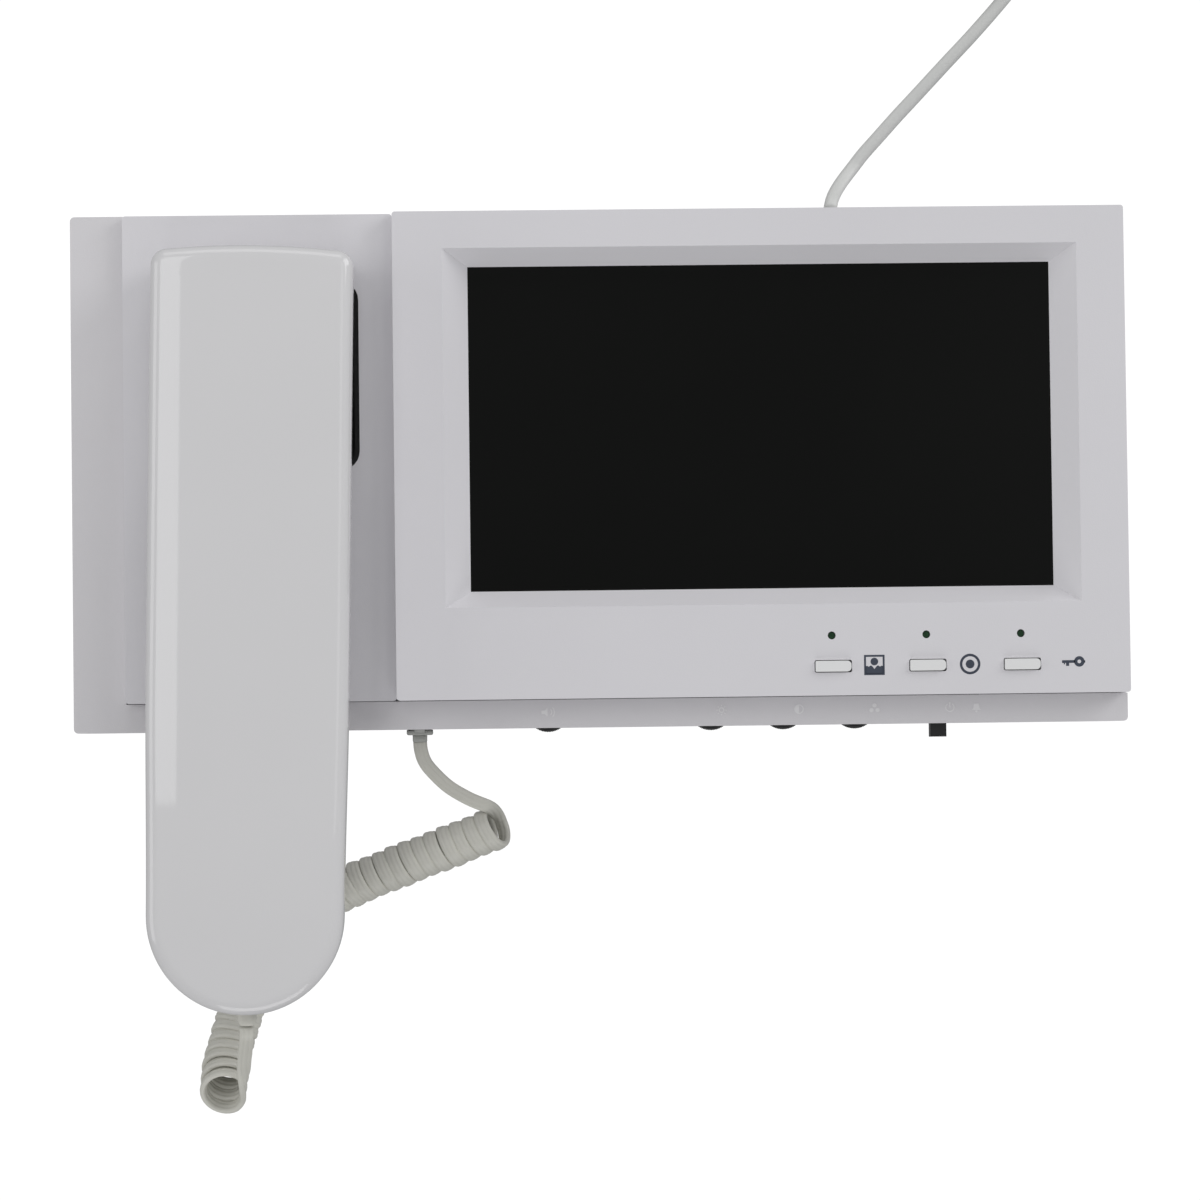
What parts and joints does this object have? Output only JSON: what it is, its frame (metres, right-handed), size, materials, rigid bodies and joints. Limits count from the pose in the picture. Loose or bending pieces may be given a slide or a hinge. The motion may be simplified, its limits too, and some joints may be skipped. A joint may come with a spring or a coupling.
{
  "type": "video intercom monitor",
  "caption": "Wall intercom station with a wide colour monitor, a handset on a curly cord, push buttons, thumb wheels and a supply lead.",
  "frame": {"origin": "centre of the four wall-screw holes of the bracket, in the wall plane; the unit lies on its back on that plane, as in the picture", "axes": "+Z out of the face, away from the wall, and up as it lies; +Y to the top edge of the unit; +X to the right as seen from the front"},
  "size_m": [0.2784, 0.3672, 0.055],
  "materials": {
    "housing_white": "fine satin moulded ABS",
    "panel_white": "smooth satin moulded ABS",
    "button_white": "smooth",
    "handset_white": "polished moulded ABS",
    "black_plastic": "satin",
    "dark_plastic": "satin",
    "screen_black": "polished smoked window",
    "lcd_glass": "polished",
    "steel": "zinc plated",
    "circuit_board": "solder mask",
    "terminal_green": "satin",
    "copper_winding": "taped winding",
    "capacitor_sleeve": "sleeved",
    "lamp_green": "clear tinted resin, unlit",
    "clear_plastic": "clear polycarbonate",
    "cord_grey": "soft satin PVC",
    "lead_grey": "soft satin PVC"
  },
  "bodies": {
    "base": {"wall_bracket": "steel", "rear_housing": "housing_white", "housing_screws": "steel", "cradle_panel": "panel_white", "cradle_well": "black_plastic", "front_bezel": "panel_white", "screen_window": "screen_black", "lcd_panel": "lcd_glass", "lcd_frame": "steel", "display_board": "circuit_board", "main_board": "circuit_board", "board_screws": "steel", "processor_shield": "steel", "terminal_block": "terminal_green", "terminal_screws": "steel", "power_board": "circuit_board", "transformer": "copper_winding", "mains_capacitor": "capacitor_sleeve", "call_speaker": "dark_plastic", "button_board": "circuit_board", "tact_switches": "dark_plastic", "status_leds": "lamp_green", "control_board": "circuit_board", "potentiometers": "dark_plastic", "slide_switch": "steel", "line_jack": "dark_plastic", "hook_board": "circuit_board", "hook_switch": "dark_plastic", "hook_pin": "steel", "base_plug": "clear_plastic", "cord_tail": "cord_grey", "cord_coil": "cord_grey", "cord_riser": "cord_grey", "lead_gland": "lead_grey", "lead_tube": "lead_grey", "lead_coil": "lead_grey", "lead_tie": "dark_plastic", "lead_end": "lead_grey", "mains_plug": "lead_grey", "plug_pins": "steel"},
    "handset": {"handset_front": "handset_white", "handset_back": "handset_white", "handset_screws": "steel", "earpiece": "dark_plastic", "microphone": "dark_plastic", "handset_weight": "steel", "handset_jack": "dark_plastic", "handset_plug": "clear_plastic"},
    "hook": {"hook_lever": "black_plastic"},
    "monitor_key": {"monitor_button": "button_white"},
    "talk_key": {"talk_button": "button_white"},
    "unlock_key": {"unlock_button": "button_white"},
    "volume_dial": {"volume_wheel": "black_plastic"},
    "brightness_dial": {"brightness_wheel": "black_plastic"},
    "contrast_dial": {"contrast_wheel": "black_plastic"},
    "colour_dial": {"colour_wheel": "black_plastic"},
    "slider": {"slider_knob": "black_plastic"}
  },
  "joints": [
    {"name": "handset_lift", "type": "slide", "parent": "base", "child": "handset", "axis": [0, 0, 1], "range_m": [0, 0.06]},
    {"name": "hook_rise", "type": "hinge", "parent": "base", "child": "hook", "pos_m": [-0.091, 0.012, 0.0115], "axis": [1, 0, 0], "range_deg": [0, 12], "stiffness_Nm_per_rad": 0.0001, "springref_deg": 77.35},
    {"name": "monitor_press", "type": "slide", "parent": "base", "child": "monitor_key", "axis": [0, 0, -1], "range_m": [0, 0.0009], "stiffness_N_per_m": 400, "springref_m": -0.002},
    {"name": "talk_press", "type": "slide", "parent": "base", "child": "talk_key", "axis": [0, 0, -1], "range_m": [0, 0.0009], "stiffness_N_per_m": 400, "springref_m": -0.002},
    {"name": "unlock_press", "type": "slide", "parent": "base", "child": "unlock_key", "axis": [0, 0, -1], "range_m": [0, 0.0009], "stiffness_N_per_m": 400, "springref_m": -0.002},
    {"name": "volume_turn", "type": "hinge", "parent": "base", "child": "volume_dial", "pos_m": [-0.0142, -0.0634, 0.0146], "axis": [0, 0, 1], "range_deg": [-135, 135]},
    {"name": "brightness_turn", "type": "hinge", "parent": "base", "child": "brightness_dial", "pos_m": [0.0292, -0.0634, 0.0146], "axis": [0, 0, 1], "range_deg": [-135, 135]},
    {"name": "contrast_turn", "type": "hinge", "parent": "base", "child": "contrast_dial", "pos_m": [0.0485, -0.0634, 0.0146], "axis": [0, 0, 1], "range_deg": [-135, 135]},
    {"name": "colour_turn", "type": "hinge", "parent": "base", "child": "colour_dial", "pos_m": [0.0676, -0.0634, 0.0146], "axis": [0, 0, 1], "range_deg": [-135, 135]},
    {"name": "power_slide", "type": "slide", "parent": "base", "child": "slider", "axis": [1, 0, 0], "range_m": [0, 0.003]}
  ],
  "couplings": [
    {"joint": "hook_rise", "follows": "handset_lift", "rad_per_m": 3.4}
  ]
}
